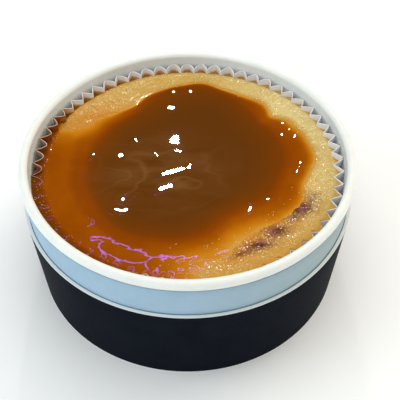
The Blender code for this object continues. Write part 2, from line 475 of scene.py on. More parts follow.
def pleated_cup_tree():
    """A grid rolled into a pleated cup: u runs round it, rows up from the middle of its floor."""
    tree, size = new_geometry_tree("pleated_cup", PLEATED_CUP_SIZES)
    grid = node(tree, "GeometryNodeMeshGrid", {
        "Size X": 1.0, "Size Y": 1.0, "Vertices X": FOOD_COLUMNS + 1, "Vertices Y": LINER_ROWS + 1})
    on_grid = split(tree, node(tree, "GeometryNodeInputPosition").outputs[0])
    u = plus(tree, on_grid[0], 0.5)
    row = times(tree, plus(tree, on_grid[1], 0.5), float(LINER_ROWS))
    on_wall = calc(tree, "MINIMUM", row, 1.0)
    v = calc(tree, "DIVIDE", minus(tree, row, 1.0), LINER_ROWS - 1.0)
    remaining = minus(tree, 1.0, calc(tree, "MAXIMUM", v, 0.0))
    risen = minus(tree, 1.0, times(tree, remaining, remaining))
    rise = times(tree, risen, size["Wall Height"])
    angle = times(tree, u, math.tau)
    cosine = calc(tree, "COSINE", angle)
    sine = calc(tree, "SINE", angle)

    phase = times(tree, u, size["Pleats"])
    crisp = times(tree, calc(tree, "PINGPONG", phase, 0.5), 2.0)
    bulge = minus(tree, crisp, times(tree, crisp, crisp))
    back = calc(tree, "POWER", calc(tree, "MAXIMUM", sine, 0.0), 2.0)
    left = minus(tree, 0.5, times(tree, cosine, 0.5))
    left = times(tree, left, minus(tree, 1.0, back))
    fold = plus(tree, crisp, times(tree, bulge, minus(tree, left, back)))

    below_edge = minus(tree, size["Wall Height"], rise)
    free = minus(tree, 1.0, calc(tree, "DIVIDE", below_edge, size["Free Paper"]))
    free = calc(tree, "MAXIMUM", free, 0.0)
    compass = node(tree, "ShaderNodeCombineXYZ", {0: cosine, 1: sine, 2: size["Seed"]})

    def dip(side):
        """How much lower the paper's edge lies round one direction."""
        off = minus(tree, angle, size[side + " Direction"])
        off = calc(tree, "DIVIDE", off, size[side + " Spread"])
        soft = calc(tree, "EXPONENT", times(tree, calc(tree, "POWER", off, 4.0), -1.0))
        return times(tree, soft, free, size[side + " Dip"])

    def uneven(scale, shift, amount):
        """Noise round the cup between about -1 and 1 times an amount, on the free paper only."""
        moved = node(tree, "ShaderNodeVectorMath", {
            0: compass.outputs[0], 1: (shift, shift, shift)}, operation="ADD").outputs[0]
        texture = node(tree, "ShaderNodeTexNoise", {"Vector": moved, "Scale": scale, "Detail": 1.0})
        return times(tree, minus(tree, texture.outputs[0], 0.5), 4.0, free, amount)

    radius = plus(tree, size["Foot Radius"], times(tree, size["Flare"], rise))
    radius = minus(tree, radius, times(tree, fold, size["Fold Depth"]))
    pull = calc(tree, "ABSOLUTE", uneven(14.0, 7.7, size["Pull In"]))
    radius = times(tree, minus(tree, radius, pull), on_wall)
    turned = plus(tree, angle, uneven(9.0, 3.1, size["Lean"]))
    height = plus(tree, size["Floor"], rise, uneven(6.0, 1.3, size["Uneven Top"]))
    height = minus(tree, height, calc(tree, "MAXIMUM", dip("Front"), dip("Drowned")))
    wrapped = node(tree, "ShaderNodeCombineXYZ", {
        0: times(tree, radius, calc(tree, "COSINE", turned)),
        1: times(tree, radius, calc(tree, "SINE", turned)),
        2: height}).outputs[0]
    moved = node(tree, "GeometryNodeSetPosition", {
        "Geometry": grid.outputs["Mesh"], "Position": wrapped}).outputs[0]
    welded = node(tree, "GeometryNodeMergeByDistance", {"Geometry": moved, "Distance": WELD})
    end_geometry_tree(tree, size, welded.outputs[0])
    return tree


def attribute(tree, name):
    """The piece's own number at each point."""
    return node(tree, "ShaderNodeAttribute", attribute_name=name).outputs["Fac"]


def store(mesh, name, values):
    """Keep a number at each point of a mesh for its material."""
    mesh.attributes.new(name, "FLOAT", "POINT").data.foreach_set("value", values.astype(np.float32))


def points_of(mesh):
    """x, y, z, radius and angle of a mesh's points."""
    flat = np.empty(len(mesh.vertices) * 3, dtype=np.float32)
    mesh.vertices.foreach_get("co", flat)
    x, y, z = flat.reshape(-1, 3).astype(float).T
    return x, y, z, np.hypot(x, y), np.arctan2(y, x) % math.tau


def greaseproof_paper(name, dry_gloss, wet_gloss, *stops):
    """Thin paper whose colour and gloss follow its soaked share, from (share, colour) stops."""
    material, tree, shader = surface(name, stops[0][1])
    soak = attribute(tree, "soak")
    blotch = grain(tree, 1.6 * MM)
    wet = plus(tree, soak, remap(tree, blotch, 0.3, 0.7, -0.06, 0.06))
    tree.links.new(colour_ramp(tree, wet, *stops), shader.inputs["Base Color"])
    tree.links.new(remap(tree, soak, 0.3, 0.8, dry_gloss, wet_gloss), shader.inputs["Roughness"])
    relief(tree, shader, (grain(tree, 0.4 * MM), 0.02 * MM), (blotch, 0.03 * MM))
    return material


# The tub's side of the paper, the food's side, and its cut edge. The cut edge stays pale pink where the
# faces soak brown, a painted highlight on the lit edges, and is reddish brown where drowned, a painted
# violet sheen.
paper_back = greaseproof_paper(
    "greaseproof_paper_back", 0.5, 0.4, (0.0, (0.80, 0.80, 0.84)), (0.35, (0.62, 0.57, 0.51)),
    (0.7, (0.41, 0.32, 0.24)), (1.0, (0.20, 0.10, 0.06)))
paper_front = greaseproof_paper(
    "greaseproof_paper_front", 0.5, 0.12, (0.0, (0.90, 0.89, 0.92)), (0.22, (0.86, 0.81, 0.74)),
    (0.45, (0.66, 0.33, 0.07)), (0.65, (0.30, 0.080, 0.010)), (1.0, (0.12, 0.024, 0.005)))
# Painted highlight: the soaked cut edge stays pale pink, lighter than the faces beside it.
paper_edge_painted_highlight = greaseproof_paper(
    "greaseproof_paper_edge_painted_highlight", 0.5, 0.2, (0.0, (0.92, 0.92, 0.94)), (0.35, (0.90, 0.84, 0.80)),
    (0.8, (0.80, 0.52, 0.42)), (1.0, (0.30, 0.13, 0.11)))

liner = place(grown("pleated_liner", pleated_cup_tree(), PLEATED_CUP_SIZES,
                    bpy.data.meshes.new("nothing"), paper_back), paper_front, paper_edge_painted_highlight)
liner.data.shade_smooth()
liner.data.set_sharp_from_angle(angle=math.radians(50))
liner_bm = bmesh.new()
liner_bm.from_mesh(liner.data)
bmesh.ops.recalc_face_normals(liner_bm, faces=liner_bm.faces)
liner_bm.to_mesh(liner.data)
liner_bm.free()
paper = liner.modifiers.new("paper", "SOLIDIFY")
paper.thickness = LINER_PAPER
paper.offset = 0.0
paper.material_offset = 1
paper.material_offset_rim = 2

# The caramel's level, and where it starts and stops, in degrees from none to full, to lie at the
# liner, to stand over the paper's edge, and to soak the paper.
POOL_LEVEL = 45.8 * MM
SPILL = (145, 164), (260, 299)
DROWNED = (176, 188), (246, 258)
SOAKED = (138, 160), (262, 276)


def between(angle, start, stop):
    """1 between two directions and 0 elsewhere, each given in degrees by its soft step's ends."""
    degrees = np.degrees(angle) % 360.0
    return smooth_step(*start, degrees) - smooth_step(*stop, degrees)


def spill(angle):
    """1 on the side where the caramel has run out to the liner, 0 elsewhere."""
    return between(angle, *SPILL)


def drowned(angle):
    """1 where the caramel stands over the paper's edge, 0 elsewhere."""
    return between(angle, *DROWNED)


# How far the paper is soaked, from its dry white edge at 0 to caramel brown at 1. Where the caramel
# doesn't reach it, it is damp up to a line just above the cake, and browner towards -X.
DAMP_UP_TO = POOL_LEVEL + 0.6 * MM
DRY_FROM = POOL_LEVEL + 1.8 * MM

_, _, liner_z, _, liner_angle = points_of(liner.data)
wetted = between(liner_angle, *SOAKED)
towards_minus_x = 0.5 - 0.5 * np.cos(liner_angle + math.radians(15))
damp = 1.0 - smooth_step(DAMP_UP_TO, DRY_FROM, liner_z)
dry_side = damp * (0.06 + 0.36 * towards_minus_x) + 0.09 * towards_minus_x
wet_side = 0.76 + 0.22 * drowned(liner_angle)
store(liner.data, "soak", wetted * wet_side + (1.0 - wetted) * dry_side)
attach(liner, "root")
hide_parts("liner")


# ------------------------------------------------------------
# Cheesecake: one baked round that filled the pleats as it rose. Its moist golden crust stands up
# as an uneven ring, lumpy and fine grained, with a few browned spots, round a sunken middle.

# Each swell of an outline or a share: direction, spread in degrees, reach or amount.
POOL_RADIUS = 44.5 * MM
SHORE_SWELLS = (
    (85, 15, 2.4 * MM), (15, 17, 2.0 * MM), (39, 5, -3.2 * MM),
    (127, 15, -5.6 * MM), (306, 22, -4.8 * MM), (346, 8, -2.0 * MM),
)
DEEP_RADIUS = 32.5 * MM
DEEP_SWELLS = (
    (82, 28, 9.5 * MM), (305, 30, -8.0 * MM), (350, 25, -2.0 * MM), (230, 20, 1.8 * MM),
)
DEEP = 2.4 * MM
MIDDLE_DEPTH = 4.2 * MM
SHELF_DEPTH = 1.1 * MM
SHELF_SWELLS = ((95, 38, 1.0), (5, 45, 0.35))
SHELFLESS_SHORES = ((288, 32, 1.0), (148, 12, 1.0))
FILM_DEPTH = 1.05 * MM
FILM_SWELLS = ((149, 15, -0.95), (280, 20, -0.75))
WALL_FILM_DEPTH = 1.3 * MM
CRUST_EDGE = 52.6 * MM
CREST_RISE = 1.4 * MM
EDGE_RISE = 1.3 * MM
FULL_CRUST_WIDTH = 4.0 * MM
POCKET_DEPTH = 1.5 * MM
CAKE_PLEAT_STEPS = 18
CAKE_COLUMNS = PLEATS * CAKE_PLEAT_STEPS
CRUST_RINGS = 60
DISH_RINGS = 12
SIDE_RINGS = 8
# Low ridges along the shore: height in millimetres, direction and spread in degrees, how far out
# from the shore, width.
SHORE_RIDGES = (
    (0.18, 120, 22, 2.6 * MM, 0.8 * MM),
    (0.13, 25, 16, 2.2 * MM, 0.5 * MM),
)
# Browned spots: x, y, length, width in millimetres, strength.
BROWN_SPOTS = (
    (38.8, -22.2, 5.2, 3.6, 1.15),
    (35.4, -26.6, 3.0, 1.8, 0.6),
    (29.4, -32.4, 4.7, 3.1, 1.05),
    (23.0, -38.8, 5.0, 2.4, 1.1),
    (17.0, -42.2, 3.6, 1.6, 0.7),
    (43.8, -16.6, 2.8, 2.4, 0.5),
)
SPOT_TURN = math.radians(10)
# Where the crust is paler: direction, spread in degrees, share.
PALE_SIDES = ((35, 28, 0.75), (350, 25, 0.35), (70, 20, 0.15))


def swelled(angle, level, swells):
    """A radius or a share with its swells added."""
    for direction, spread, reach in swells:
        level = level + reach * hump(angle, direction, spread)
    return level


def shore_radius(angle):
    """Free shore of the pool, leaving out where it has run out to the liner."""
    ripple = 0.35 * np.sin(9 * angle + 1.0) + 0.25 * np.sin(14 * angle + 0.4) + 0.2 * np.sin(23 * angle)
    return swelled(angle, POOL_RADIUS, SHORE_SWELLS) + ripple * MM


def sauce_depth(radius, angle):
    """Depth of the caramel: deep in the middle, a shelf, and a film over the crust it overran."""
    deep = swelled(angle, DEEP_RADIUS, DEEP_SWELLS)
    out = np.clip((radius - deep) / (shore_radius(angle) - deep), 0.0, 1.0)
    slope = (1.0 - out) ** 1.15
    shelf = SHELF_DEPTH / DEEP * swelled(angle, 1.0, SHELF_SWELLS)
    step = (shelf + (1.0 - shelf) * (1.0 - smooth_step(0.0, 0.55, out))) * (1.0 - out ** 6)
    shelving = 1.0 - np.clip(swelled(angle, 0.0, SHELFLESS_SHORES), 0.0, 1.0)
    depth = DEEP * (slope + (step - slope) * shelving)
    inner = np.clip(1.0 - (radius / deep) ** 2, 0.0, 1.0)
    depth = depth + (MIDDLE_DEPTH - DEEP) * inner ** 0.8
    thin = FILM_DEPTH * swelled(angle, 1.15, FILM_SWELLS)
    by_wall = WALL_FILM_DEPTH * smooth_step(50.8 * MM, 54.3 * MM, radius) * (1.0 - hump(angle, 280, 25))
    film = spill(angle) * (thin + by_wall)
    return np.sqrt(depth ** 2 + film ** 2)


def noise_at(x, y, size, seed):
    """Smooth noise between about -1 and 1 on the plane, with features of one size."""
    x, y = np.broadcast_arrays(x, y)
    values = [noise.noise(Vector((a, b, seed))) for a, b in zip(x.ravel() / size, y.ravel() / size)]
    return np.array(values).reshape(x.shape)


def crust_relief(x, y, radius, angle):
    """Height of the crust's lumps, grain, pits and the wrinkles that run in from the pleats."""
    lumps = 0.16 * noise_at(x, y, 5.0 * MM, 1.0) + 0.16 * noise_at(x, y, 2.4 * MM, 2.0)
    grains = 0.10 * noise_at(x, y, 1.2 * MM, 3.0) + 0.03 * noise_at(x, y, 0.6 * MM, 4.0)
    pits = -0.22 * np.clip(noise_at(x, y, 1.7 * MM, 5.0) - 0.35, 0.0, 1.0)
    near_liner = smooth_step(47.5 * MM, 52.0 * MM, radius)
    pulled = np.cos(angle * PLEATS) * (0.6 + 0.5 * noise_at(x, y, 3.0 * MM, 6.0))
    wrinkles = -0.32 * near_liner * (0.15 + hump(angle, 18, 35)) * pulled
    ridge = 0.0
    for height, direction, spread, reach, width in SHORE_RIDGES:
        across = (radius - shore_radius(angle) - reach) / width
        ridge = ridge + height * hump(angle, direction, spread) * np.exp(-across ** 2)
    return (lumps + grains + pits + wrinkles + ridge) * MM


def cake_height(radius, angle):
    """Top of the cake: sunken bed under the caramel, crust outside it, lower inside the pleats."""
    x, y = radius * np.cos(angle), radius * np.sin(angle)
    shore = shore_radius(angle)
    width = np.maximum(CRUST_EDGE - shore, 0.5 * MM)
    part = (radius - shore) / width
    climb = CREST_RISE * (0.16 * smooth_step(-0.03, 0.15, part) + 0.84 * smooth_step(0.0, 0.85, part))
    climb = climb * (1.0 - 0.35 * hump(angle, 135, 16))
    fall = (CREST_RISE - EDGE_RISE) * smooth_step(0.7, 1.0, part)
    bare = 1.0 - spill(angle)
    fullness = smooth_step(0.0, FULL_CRUST_WIDTH, width) * bare
    on_crust = smooth_step(-0.06, 0.06, part) * fullness
    pocket = POCKET_DEPTH * (0.3 + 0.7 * hump(angle, 125, 60)) * bare
    pocket = pocket * smooth_step(CRUST_EDGE - 0.2 * MM, CRUST_EDGE + 1.8 * MM, radius)
    rise = (climb - fall) * fullness + on_crust * crust_relief(x, y, radius, angle) - pocket
    return POOL_LEVEL - sauce_depth(radius, angle) + rise


def build_cheesecake():
    """The cake in one skin: its bottom, its pleated side, the crust and the dish in its middle."""
    angle = even_angles(CAKE_COLUMNS)
    inside = LINER_PAPER / 2
    edge = liner_radius(angle, POOL_LEVEL) - inside
    start = np.minimum(shore_radius(angle), edge - 1.0 * MM)
    bottom = liner_low[2] + LINER_PAPER
    radii = [start + share * (edge - start) for share in np.linspace(1.0, 0.0, CRUST_RINGS)]
    radii += [share * start for share in np.linspace(0.97, 0.0, DISH_RINGS)]
    top_radius = np.concatenate(radii)
    top_z = cake_height(top_radius, angle)
    edge_z = top_z[:1]
    side_z = bottom + np.linspace(0.0, 1.0, SIDE_RINGS)[:-1, None] * (edge_z - bottom)
    side_radius = liner_radius(angle, side_z) - inside
    radius = np.concatenate([0.0 * angle, side_radius, top_radius])
    z = np.concatenate([bottom + 0.0 * angle, side_z, top_z])
    return ring_mesh("cheesecake_round", radius, angle, z)


def brownness(x, y):
    """How browned the crust is: uneven oval spots."""
    total = 0.0 * x
    ragged = 1.0 + 0.45 * noise_at(x, y, 1.6 * MM, 9.0)
    for along, across, length, width, strength in BROWN_SPOTS:
        dx = x - along * MM
        dy = y - across * MM
        lengthways = (dx * math.cos(SPOT_TURN) + dy * math.sin(SPOT_TURN)) / (length * MM)
        sideways = (dy * math.cos(SPOT_TURN) - dx * math.sin(SPOT_TURN)) / (width * MM)
        total = total + strength * np.exp(-(lengthways ** 2 + sideways ** 2) * ragged)
    return np.clip(total, 0.0, 1.0)


def radial_fibre(tree):
    """Noise stretched out along the radius, as the skin is pulled towards the folds of the liner; it lays
    out the wrinkles and their painted highlights.
    """
    x, y, z = split(tree, own_place(tree))
    turn = times(tree, calc(tree, "ARCTAN2", y, x), CRUST_EDGE)
    squares = plus(tree, times(tree, x, x), times(tree, y, y))
    reach = times(tree, calc(tree, "POWER", squares, 0.5), 0.16)
    drawn_glint_streaks = node(tree, "ShaderNodeCombineXYZ", {0: turn, 1: reach}).outputs[0]
    return noise_texture(tree, drawn_glint_streaks, 0.8 * MM, 2.0, 0.6)


def baked_crust():
    """Golden cheese crust: pale and deep gold in clouds, brown in the spots, moist and shiny, with painted
    shade in the pleat pockets, a painted violet reflection in the spots and painted highlights along the
    fine wrinkles.
    """
    material, tree, shader = surface(
        "baked_crust", (0.70, 0.45, 0.14), Specular_IOR_Level=0.3, Subsurface_Weight=0.2,
        Subsurface_Radius=(0.0016, 0.0008, 0.0003), Subsurface_Scale=1.0,
        Coat_Weight=0.3, Coat_Roughness=0.12, Coat_IOR=1.6)
    clouds = remap(tree, grain(tree, 8.0 * MM, detail=4.0), 0.35, 0.65)
    fine = remap(tree, grain(tree, 0.9 * MM, detail=4.0, roughness=0.7), 0.3, 0.7)
    gold = mixed(tree, clouds, (0.63, 0.375, 0.070), (0.70, 0.465, 0.120))
    gold = mixed(tree, times(tree, fine, 0.75), gold, (0.50, 0.27, 0.045))
    gold = mixed(tree, attribute(tree, "pale"), gold, (0.78, 0.61, 0.25))
    gold = mixed(tree, attribute(tree, "stained"), gold, (0.60, 0.235, 0.012))
    # Darker brown down in the pleat pockets: partly toasting, partly painted shade in the recesses.
    gold = mixed(tree, attribute(tree, "toast_and_pocket_shade"), gold, (0.38, 0.155, 0.018))
    brown = attribute(tree, "brown")
    spots = times(tree, brown, remap(tree, grain(tree, 0.8 * MM), 0.28, 0.5, 0.6, 1.0))
    # Browned spots: dark brown, turning purple in clouds as a painted violet reflection.
    violet_sheen_share = remap(tree, grain(tree, 3.0 * MM), 0.44, 0.64)
    burnt_and_violet_sheen = mixed(tree, violet_sheen_share, (0.105, 0.020, 0.003), (0.20, 0.040, 0.050))
    gold = mixed(tree, spots, gold, burnt_and_violet_sheen)
    # Painted highlights: pale yellow lines along the fine wrinkles, which also get their bump.
    wrinkles_and_glints = remap(tree, radial_fibre(tree), 0.55, 0.61)
    wrinkles_and_glints = times(tree, wrinkles_and_glints, attribute(tree, "drawn_glint_streaks"))
    gold = mixed(tree, times(tree, wrinkles_and_glints, 0.8), gold, (1.0, 0.87, 0.50))
    tree.links.new(gold, shader.inputs["Base Color"])
    tree.links.new(remap(tree, fine, 0.0, 1.0, 0.32, 0.5), shader.inputs["Roughness"])
    smoother = remap(tree, brown, 0.0, 1.0, 1.0, 0.25)
    grit = times(tree, grain(tree, 0.45 * MM), smoother)
    lumps = times(tree, grain(tree, 1.4 * MM, detail=1.0), smoother)
    relief(tree, shader, (grit, 0.06 * MM), (lumps, 0.10 * MM), (wrinkles_and_glints, 0.16 * MM))
    return material


cake = place(build_cheesecake(), baked_crust())
cake_x, cake_y, cake_z, cake_r, cake_angle = points_of(cake.data)
on_top = smooth_step(40.0 * MM, 42.0 * MM, cake_z)
outside = cake_r - shore_radius(cake_angle)
store(cake.data, "brown", brownness(cake_x, cake_y) * on_top)
pale = np.clip(swelled(cake_angle, 0.0, PALE_SIDES), 0.0, 1.0)
store(cake.data, "pale", on_top * pale * smooth_step(0.5 * MM, 3.0 * MM, outside))
# The sauce stains the crust along its shore, and all of it on the two sides next to the spill.
far_out = smooth_step(3.0 * MM, 9.0 * MM, outside)
stain = 0.9 * (1.0 - smooth_step(-0.5 * MM, 2.0 * MM, outside))
stain = stain + 0.95 * hump(cake_angle, 146, 22) * (1.0 - 0.6 * far_out)
stain = stain + 0.95 * hump(cake_angle, 297, 27) * (1.0 - 0.5 * far_out)
store(cake.data, "stained", on_top * np.clip(stain, 0.0, 1.0))
# Darker brown in the pleat pockets, more towards -X: partly toasting, partly painted shade.
towards_left = 0.5 - 0.5 * np.cos(cake_angle + 0.6)
toast_and_shade = smooth_step(CRUST_EDGE - 0.1 * MM, CRUST_EDGE + 1.4 * MM, cake_r) * (0.35 + 0.65 * towards_left)
store(cake.data, "toast_and_pocket_shade", on_top * np.clip(toast_and_shade, 0.0, 1.0))
# Where the painted highlights on the fine wrinkles lie: the +X side, just inside the liner.
drawn_glint_streaks = hump(cake_angle, 16, 32) * smooth_step(46.0 * MM, 48.5 * MM, cake_r)
store(cake.data, "drawn_glint_streaks", on_top * drawn_glint_streaks * (1.0 - smooth_step(52.0 * MM, 53.0 * MM, cake_r)))
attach(cake, "root")
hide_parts("cheesecake")


# ------------------------------------------------------------
# Curd grains: moist specks of cheese baked onto the crust, half sunk in it, coloured pale and light as
# a painted sparkle. They lie in patches,
# densest on the +X side and at the back, and thin out towards the caramel and the liner.

GRAIN_SIZES = {
    "Grains Each Square Metre": 3.0e6,
    "Least Radius": 0.10 * MM,
    "Largest Radius": 0.32 * MM,
    "Flatness": 0.75,
    "Seed": 11.0,
}
# Where they lie closer: direction, spread in degrees, share.
GRAINY_SIDES = ((335, 50, 0.5), (120, 25, 0.4))


def grains_tree():
    """Small balls scattered on a surface where its own "grainy" share asks for them."""
    tree, size = new_geometry_tree("curd_grains", GRAIN_SIZES)
    share = node(tree, "GeometryNodeInputNamedAttribute", {"Name": "grainy"}, data_type="FLOAT")
    density = times(tree, share.outputs["Attribute"], size["Grains Each Square Metre"])
    spread = node(tree, "GeometryNodeDistributePointsOnFaces", {
        "Mesh": size["Base"], "Density": density, "Seed": size["Seed"]}, distribute_method="RANDOM")
    ball = node(tree, "GeometryNodeMeshIcoSphere", {"Radius": 1.0, "Subdivisions": 1})
    random = node(tree, "FunctionNodeRandomValue", {
        2: size["Least Radius"], 3: size["Largest Radius"], "Seed": size["Seed"]}, data_type="FLOAT")
    radius = random.outputs[1]
    scale = node(tree, "ShaderNodeCombineXYZ", {
        0: radius, 1: radius, 2: times(tree, radius, size["Flatness"])})
    balls = node(tree, "GeometryNodeInstanceOnPoints", {
        "Points": spread.outputs["Points"], "Instance": ball.outputs["Mesh"],
        "Rotation": spread.outputs["Rotation"], "Scale": scale.outputs[0]})
    smooth = node(tree, "GeometryNodeSetShadeSmooth", {"Geometry": balls.outputs[0]})
    end_geometry_tree(tree, size, smooth.outputs[0])
    return tree


def specks_with_painted_sparkle(name, dull, bright, roughness):
    """Small moist specks that vary from dull to very pale, a painted sparkle, orange where the sauce stains
    the crust.
    """
    material, tree, shader = surface(
        name, bright, Roughness=roughness, Coat_Weight=0.8, Coat_Roughness=0.15)
    tone = remap(tree, grain(tree, 0.8 * MM), 0.38, 0.62)
    # Painted highlight: the light end stands in for the sparkle of the lamp on the wet specks.
    colour = mixed(tree, tone, dull, bright)
    warmth = times(tree, attribute(tree, "stained"), 0.75)
    tree.links.new(mixed(tree, warmth, colour, (0.80, 0.37, 0.08)), shader.inputs["Base Color"])
    relief(tree, shader, (grain(tree, 0.2 * MM), 0.01 * MM))
    return material


patches = 0.6 + 1.4 * noise_at(cake_x, cake_y, 4.0 * MM, 21.0)
grainy = np.clip(patches * swelled(cake_angle, 0.5, GRAINY_SIDES), 0.0, 1.0)
bare = smooth_step(0.0, 1.2 * MM, outside) * (1.0 - smooth_step(51.5 * MM, 52.6 * MM, cake_r))
bare = bare * (1.0 - 0.85 * brownness(cake_x, cake_y))
store(cake.data, "grainy", grainy * bare * on_top * (1.0 - spill(cake_angle)))
curd = specks_with_painted_sparkle("curd_painted_sparkle", (0.74, 0.46, 0.10), (1.0, 0.86, 0.42), 0.35)
grain_tree = grains_tree()
curd_grains = place(grown("curd_grains", grain_tree, GRAIN_SIZES, cake.data, curd))
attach(curd_grains, "root")


# ------------------------------------------------------------
# Caramel: sauce poured into the sunken middle and run out to the liner on one side. It lies almost
# level in low swells, creeps up what it touches, and is dark where deep and amber where thin.

POOL_RINGS = 110
# The pool is level but for its low swells, whose even flanks lean more the further they lie from
# the still middle. Each flank has its place, half length and half width in millimetres, its turn in
# degrees, and how much it bows, over its length squared.
STILL_PLACE = (-4.8, 12.7)
STEEPENING = (0.0030, 0.00143)
FLANKS = (
    (-3.1, 7.6, 1.7, 0.4, -12, 0.0),
    (-11.7, 5.8, 1.9, 0.7, -61, 0.0),
    (-5.8, -3.5, 6.5, 1.3, 24, 0.0),
    (0.6, -1.0, 2.0, 0.9, 80, 0.0),
    (-8.0, -11.4, 4.9, 1.45, 33, 0.0),
    (-22.6, -16.9, 2.1, 1.0, 60, 0.0),
    (-22.7, -22.2, 4.9, 1.6, 14, 0.13),
    (-24.6, 5.3, 2.2, 1.4, 25, 0.0),
    (-19.4, 13.4, 1.8, 0.75, -60, 0.0),
    (-34.2, 7.0, 4.4, 0.85, 64, 0.0),
    (-6.5, 32.1, 1.6, 1.4, -25, 0.0),
    (-5.7, 41.9, 0.8, 0.6, 0, 0.0),
    (1.2, 42.2, 0.85, 0.95, 0, 0.0),
    (21.1, -22.0, 2.2, 1.2, 65, 0.0),
    (27.7, -17.4, 1.4, 1.0, 10, 0.0),
    (31.8, -17.9, 1.1, 0.95, 0, 0.0),
    (36.3, 22.4, 2.1, 0.65, -30, 0.0),
    (38.7, 19.0, 1.1, 1.0, 0, 0.0),
    (35.6, 16.0, 1.15, 1.15, 0, 0.0),
    (40.4, 15.1, 1.1, 1.1, 0, 0.0),
    (40.1, -1.5, 5.0, 0.9, 66, 0.0),
)
# The still middle's low dome: width and height in millimetres.
STILL_DOME = (6.0, 0.022)
# A blister left by a burst bubble: place, width and height in millimetres.
BLISTER = (-34.3, -25.1, 2.3, 0.15)
# Cream that is not quite stirred in: place and reach of the milky part in millimetres.
MILK_PLACE = (-9, -4)
MILK_REACH = (18, 14)
SHORE_CREEP = 0.05 * MM
WALL_CREEP = 0.5 * MM
WALL_CREEP_WIDTH = 0.8 * MM
OVERLAP = 1.6 * MM
# How far the sauce stands into the crust, and the least it is thick.
BITE = 0.12 * MM
SKIN = 0.03 * MM
RINGS_BELOW = 9
# The caramel rises to the tub in small lumps over the drowned folds, and is wrinkled where thinnest.
FOLD_LUMP = 0.075 * MM
FOLD_LUMP_RADIUS = 53.2 * MM
FOLD_LUMP_WIDTH = 1.7 * MM
RISE_TO_TUB = 0.085
WRINKLE = 0.03 * MM


def pool_height(x, y):
    """Height above the level: faint ripples, the still middle's dome, a blister and the flanks."""
    height = 0.007 * noise_at(x, y, 9.0 * MM, 11.0) + 0.003 * noise_at(x, y, 4.0 * MM, 12.0)
    x, y = x / MM, y / MM
    still = ((x - STILL_PLACE[0]) ** 2 + (y - STILL_PLACE[1]) ** 2) / STILL_DOME[0] ** 2
    height = height + STILL_DOME[1] * np.exp(-still)
    blister = ((x - BLISTER[0]) ** 2 + (y - BLISTER[1]) ** 2) / BLISTER[2] ** 2
    height = height + BLISTER[3] * np.exp(-blister)
    for flank_x, flank_y, length, width, turn, bow in FLANKS:
        turn = math.radians(turn)
        along = (x - flank_x) * math.cos(turn) + (y - flank_y) * math.sin(turn)
        aside = (y - flank_y) * math.cos(turn) - (x - flank_x) * math.sin(turn) - bow * along ** 2
        even = np.exp(-(along / length) ** 6 - (aside / width) ** 6)
        lean_x = (x - STILL_PLACE[0]) ** 2 - (flank_x - STILL_PLACE[0]) ** 2
        lean_y = (y - STILL_PLACE[1]) ** 2 - (flank_y - STILL_PLACE[1]) ** 2
        flank = 0.5 * (STEEPENING[0] * lean_x + STEEPENING[1] * lean_y)
        height = height + even * (flank - height)
    return height * MM


def build_caramel():
    """The sauce in one skin: its top from the middle out, then back to the middle just under it
    and a little into the crust, on every RINGS_BELOW-th ring."""
    angle = even_angles(FOOD_COLUMNS)
    wall = liner_radius(angle, POOL_LEVEL) - LINER_PAPER / 4
    over_liner = tapered(tub_radius - TUB_WALL, POOL_LEVEL) - 0.15 * MM
    wall = wall + (over_liner - wall) * drowned(angle)
    shore = shore_radius(angle)
    flooded = spill(angle)
    end = np.minimum(shore + OVERLAP + (wall - shore) * smooth_step(0.0, 0.7, flooded), wall)
    part_way = (1.0 - (1.0 - np.linspace(0.0, 1.0, POOL_RINGS)) ** 1.35)[:, None]
    radius = part_way * end
    x, y = radius * np.cos(angle), radius * np.sin(angle)
    calm = smooth_step(0.2 * MM, 1.5 * MM, end - radius)
    creep = SHORE_CREEP * smooth_step(shore - 0.15 * MM, shore + 0.8 * MM, radius) * (1.0 - flooded)
    cling = WALL_CREEP * flooded * (1.0 - drowned(angle)) * np.exp(-(wall - radius) / WALL_CREEP_WIDTH)
    lumps = FOLD_LUMP * drowned(angle) * np.cos(angle * PLEATS + math.pi)
    lumps = lumps * np.exp(-((radius - FOLD_LUMP_RADIUS) / FOLD_LUMP_WIDTH) ** 2)
    beyond = np.maximum(radius - FOLD_LUMP_RADIUS + FOLD_LUMP_WIDTH, 0.0)
    lumps = lumps + RISE_TO_TUB * hump(angle, 180, 38) * drowned(angle) * beyond
    wrinkled = WRINKLE * hump(angle, 284, 17) * smooth_step(42.0 * MM, 45.0 * MM, radius)
    wrinkles = wrinkled * noise_at(x, y, 2.2 * MM, 41.0)
    z = POOL_LEVEL + pool_height(x, y) * calm + creep + cling + lumps + wrinkles
    bed = cake_height(radius, angle) - BITE
    z[-1] = np.where(flooded[0] > 0.5, z[-1], np.minimum(z[-1], bed[-1] + 0.04 * MM))
    under = np.minimum(bed[::-RINGS_BELOW], z[::-RINGS_BELOW] - SKIN)
    radius = np.concatenate([radius, radius[::-RINGS_BELOW], 0.0 * angle])
    z = np.concatenate([z, under, under[-1:] + 0.0 * angle])
    return ring_mesh("caramel_pool", radius, angle, z)


